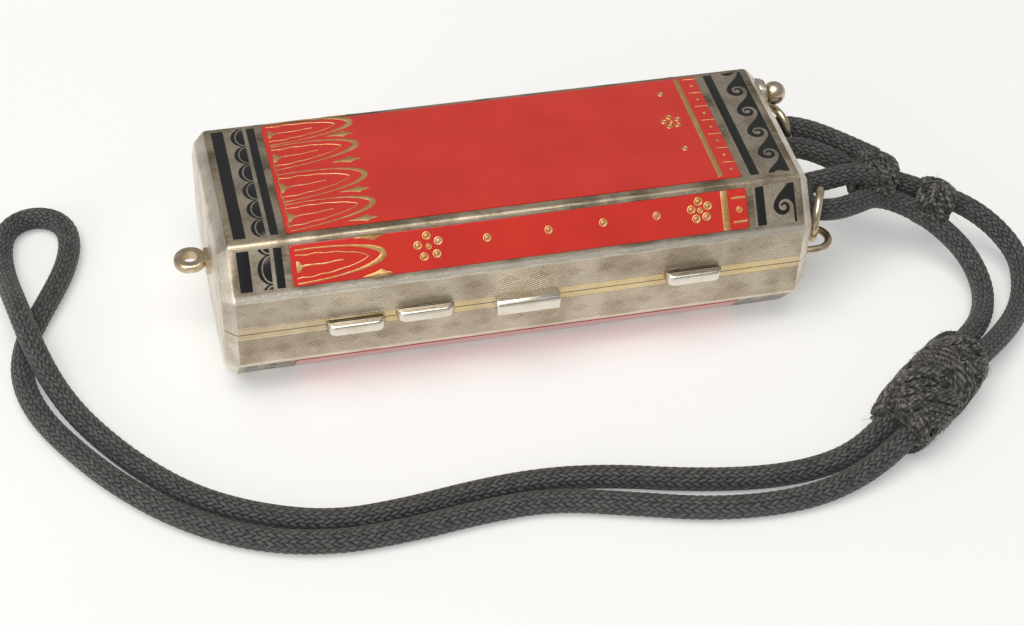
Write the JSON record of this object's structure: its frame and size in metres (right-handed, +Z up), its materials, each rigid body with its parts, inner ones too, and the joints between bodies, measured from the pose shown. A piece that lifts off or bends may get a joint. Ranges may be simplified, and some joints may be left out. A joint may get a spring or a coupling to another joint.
{
  "type": "lipstick case",
  "caption": "Eight-sided hinged vanity case with enamelled faces, finger tabs, a clasp, inner lids, a mirror, a slide-out pencil and a braided wrist cord with a sliding bead.",
  "frame": {"origin": "centre of the flat face that the closed case rests on", "axes": "+X along the case towards the cord, -Y towards the clasp and finger tabs, +Z up from the resting face"},
  "size_m": [0.1496, 0.0794, 0.0237],
  "materials": {
    "silver": "engraved, lightly tarnished silver",
    "gilt": "satin gilt",
    "red_enamel": "glossy vitreous enamel",
    "black_enamel": "glossy vitreous enamel",
    "mirror": "silvered glass",
    "powder": "pressed powder",
    "rouge": "pressed rouge",
    "puff": "velour",
    "lip_colour": "waxy",
    "pencil_wood": "lacquered",
    "cord": "braided silk"
  },
  "bodies": {
    "base": {"base_shell": "silver", "base_knuckles": "silver", "hinge_pin": "silver", "base_bottom_enamel": "red_enamel", "base_front_enamel": "red_enamel", "base_back_enamel": "red_enamel", "base_left_band": "black_enamel", "base_right_band": "black_enamel", "compartment_tray": "gilt", "powder_cake": "powder", "rouge_cake": "rouge", "powder_puff": "puff", "lipstick_tube": "gilt", "lipstick_cap": "gilt", "lipstick_carrier": "gilt", "lipstick_bullet": "lip_colour", "powder_lid_pin": "gilt", "rouge_lid_pin": "gilt", "catch_spring": "gilt", "tassel_eye": "silver", "staple_front": "silver", "staple_rear": "silver", "ring_front": "silver", "ring_rear": "silver", "wrist_cord": "cord", "inner_knot": "cord", "outer_knot": "cord", "slide_bead": "cord"},
    "lid": {"lid_shell": "silver", "lid_knuckles": "silver", "lid_top_enamel": "red_enamel", "lid_front_enamel": "red_enamel", "lid_back_enamel": "red_enamel", "lid_left_band": "black_enamel", "lid_right_band": "black_enamel", "lid_liner": "gilt", "clasp": "silver", "pencil_sleeve": "silver", "mirror_hinge_pin": "gilt"},
    "powder_flap": {"powder_lid": "gilt"},
    "rouge_flap": {"rouge_lid": "gilt"},
    "mirror_flap": {"mirror_frame": "gilt", "mirror_glass": "mirror"},
    "pencil": {"pencil": "pencil_wood", "ball_knob": "silver"}
  },
  "joints": [
    {"name": "lid_hinge", "type": "hinge", "parent": "base", "child": "lid", "pos_m": [0, 0.0178, 0.0118], "axis": [-1, 0, 0], "range_deg": [0, 105]},
    {"name": "powder_lid_hinge", "type": "hinge", "parent": "base", "child": "powder_flap", "pos_m": [-0.0241, 0.0137, 0.01072], "axis": [-1, 0, 0], "range_deg": [0, 50]},
    {"name": "rouge_lid_hinge", "type": "hinge", "parent": "base", "child": "rouge_flap", "pos_m": [0.0241, 0.0137, 0.01072], "axis": [-1, 0, 0], "range_deg": [0, 50]},
    {"name": "mirror_hinge", "type": "hinge", "parent": "lid", "child": "mirror_flap", "pos_m": [0, 0.0143, 0.01296], "axis": [-1, 0, 0], "range_deg": [-45, 0]},
    {"name": "pencil_slide", "type": "slide", "parent": "lid", "child": "pencil", "axis": [1, 0, 0], "range_m": [0, 0.045]}
  ],
  "couplings": [
    {"joint": "powder_lid_hinge", "follows": "lid_hinge", "ratio": 0.45},
    {"joint": "rouge_lid_hinge", "follows": "lid_hinge", "ratio": 0.45},
    {"joint": "mirror_hinge", "follows": "lid_hinge", "ratio": -0.4}
  ]
}
